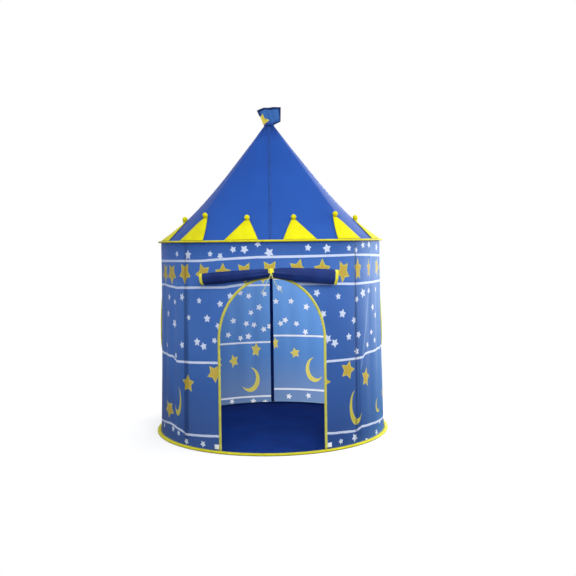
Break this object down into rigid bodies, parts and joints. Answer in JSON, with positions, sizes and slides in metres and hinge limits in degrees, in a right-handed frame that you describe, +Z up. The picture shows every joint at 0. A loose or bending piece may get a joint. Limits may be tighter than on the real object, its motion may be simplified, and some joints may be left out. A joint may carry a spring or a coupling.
{
  "type": "play tent",
  "caption": "Round castle play tent for a child, with a tied-back arched door, net side windows, a peaked roof with crown points and a flag.",
  "frame": {"origin": "middle of the underside of the floor, on the ground", "axes": "+Z up through the peak, -Y out of the door, +X to the right of someone who faces the door"},
  "size_m": [1.0488, 1.0488, 1.4567],
  "materials": {
    "printed_cloth": "thin woven polyester with a printed pattern",
    "roof_cloth": "thin woven polyester",
    "navy_cloth": "thin woven polyester",
    "yellow_cloth": "thin woven polyester",
    "yellow_tape": "folded binding tape",
    "white_hook_tape": "hook-and-loop tape",
    "net": "fine net",
    "flag_cloth": "thin woven polyester",
    "spring_steel": "drawn wire",
    "pole_plastic": "extruded tube",
    "fitting_plastic": "moulded"
  },
  "bodies": {
    "tent": {"back_seam_tape": "navy_cloth", "base_hem": "yellow_tape", "base_hoop": "spring_steel", "base_hoop_ferrule": "spring_steel", "closing_patch_left": "white_hook_tape", "closing_patch_right": "white_hook_tape", "door_binding": "yellow_tape", "door_roll_waist": "navy_cloth", "door_tie": "yellow_tape", "eave_elbow_back_left": "fitting_plastic", "eave_elbow_back_right": "fitting_plastic", "eave_elbow_front_left": "fitting_plastic", "eave_elbow_front_right": "fitting_plastic", "eave_hoop": "spring_steel", "eave_hoop_ferrule": "spring_steel", "eave_trim": "yellow_tape", "floor_sheet": "navy_cloth", "foot_cup_back_left": "fitting_plastic", "foot_cup_back_right": "fitting_plastic", "foot_cup_front_left": "fitting_plastic", "foot_cup_front_right": "fitting_plastic", "peak_hub": "fitting_plastic", "pole_sleeve_back_left": "navy_cloth", "pole_sleeve_back_right": "navy_cloth", "pole_sleeve_front_left": "navy_cloth", "pole_sleeve_front_right": "navy_cloth", "roof_left": "roof_cloth", "roof_pole_back_left": "pole_plastic", "roof_pole_back_right": "pole_plastic", "roof_pole_front_left": "pole_plastic", "roof_pole_front_right": "pole_plastic", "roof_right": "roof_cloth", "wall_panel": "printed_cloth", "wall_pole_back_left": "pole_plastic", "wall_pole_back_right": "pole_plastic", "wall_pole_front_left": "pole_plastic", "wall_pole_front_right": "pole_plastic", "window_net_left": "net", "window_net_right": "net", "window_piping_left": "yellow_tape", "window_piping_right": "yellow_tape"},
    "crown_01": {"crown_point_01": "yellow_cloth"},
    "crown_02": {"crown_point_02": "yellow_cloth"},
    "crown_03": {"crown_point_03": "yellow_cloth"},
    "crown_04": {"crown_point_04": "yellow_cloth"},
    "crown_05": {"crown_point_05": "yellow_cloth"},
    "crown_06": {"crown_point_06": "yellow_cloth"},
    "crown_07": {"crown_point_07": "yellow_cloth"},
    "crown_08": {"crown_point_08": "yellow_cloth"},
    "crown_09": {"crown_point_09": "yellow_cloth"},
    "crown_10": {"crown_point_10": "yellow_cloth"},
    "crown_11": {"crown_point_11": "yellow_cloth"},
    "crown_12": {"crown_point_12": "yellow_cloth"},
    "crown_13": {"crown_point_13": "yellow_cloth"},
    "roll_left": {"door_roll_left": "navy_cloth"},
    "roll_right": {"door_roll_right": "navy_cloth"},
    "flag": {"flag": "flag_cloth", "flag_piping": "navy_cloth"}
  },
  "joints": [
    {"name": "crown_01_fold", "type": "hinge", "parent": "tent", "child": "crown_01", "pos_m": [0.11749, -0.47667, 0.8563], "axis": [0.9709, 0.2393, 0], "range_deg": [0, 125]},
    {"name": "crown_02_fold", "type": "hinge", "parent": "tent", "child": "crown_02", "pos_m": [0.32617, -0.36817, 0.8563], "axis": [0.7485, 0.6631, 0], "range_deg": [0, 125]},
    {"name": "crown_03_fold", "type": "hinge", "parent": "tent", "child": "crown_03", "pos_m": [0.45919, -0.17415, 0.8563], "axis": [0.3546, 0.935, 0], "range_deg": [0, 125]},
    {"name": "crown_04_fold", "type": "hinge", "parent": "tent", "child": "crown_04", "pos_m": [0.48726, 0.05916, 0.8563], "axis": [-0.1205, 0.9927, 0], "range_deg": [0, 125]},
    {"name": "crown_05_fold", "type": "hinge", "parent": "tent", "child": "crown_05", "pos_m": [0.40457, 0.27925, 0.8563], "axis": [-0.5681, 0.823, 0], "range_deg": [0, 125]},
    {"name": "crown_06_fold", "type": "hinge", "parent": "tent", "child": "crown_06", "pos_m": [0.22833, 0.43505, 0.8563], "axis": [-0.8855, 0.4647, 0], "range_deg": [0, 125]},
    {"name": "crown_07_fold", "type": "hinge", "parent": "tent", "child": "crown_07", "pos_m": [0, 0.4908, 0.8563], "axis": [-1, 0, 0], "range_deg": [0, 125]},
    {"name": "crown_08_fold", "type": "hinge", "parent": "tent", "child": "crown_08", "pos_m": [-0.22833, 0.43505, 0.8563], "axis": [-0.8855, -0.4647, 0], "range_deg": [0, 125]},
    {"name": "crown_09_fold", "type": "hinge", "parent": "tent", "child": "crown_09", "pos_m": [-0.40457, 0.27925, 0.8563], "axis": [-0.5681, -0.823, 0], "range_deg": [0, 125]},
    {"name": "crown_10_fold", "type": "hinge", "parent": "tent", "child": "crown_10", "pos_m": [-0.48726, 0.05916, 0.8563], "axis": [-0.1205, -0.9927, 0], "range_deg": [0, 125]},
    {"name": "crown_11_fold", "type": "hinge", "parent": "tent", "child": "crown_11", "pos_m": [-0.45919, -0.17415, 0.8563], "axis": [0.3546, -0.935, 0], "range_deg": [0, 125]},
    {"name": "crown_12_fold", "type": "hinge", "parent": "tent", "child": "crown_12", "pos_m": [-0.32617, -0.36817, 0.8563], "axis": [0.7485, -0.6631, 0], "range_deg": [0, 125]},
    {"name": "crown_13_fold", "type": "hinge", "parent": "tent", "child": "crown_13", "pos_m": [-0.11749, -0.47667, 0.8563], "axis": [0.9709, -0.2393, 0], "range_deg": [0, 125]},
    {"name": "roll_left_lift", "type": "hinge", "parent": "tent", "child": "roll_left", "pos_m": [0, -0.49422, 0.738], "axis": [-0.9633, 0.2684, 0], "range_deg": [0, 60]},
    {"name": "roll_right_lift", "type": "hinge", "parent": "tent", "child": "roll_right", "pos_m": [0, -0.49422, 0.738], "axis": [-0.9633, -0.2684, 0], "range_deg": [0, 60]},
    {"name": "flag_turn", "type": "hinge", "parent": "tent", "child": "flag", "pos_m": [0, 0, 1.3665], "axis": [0, 0, 1], "range_deg": [-60, 60]}
  ]
}
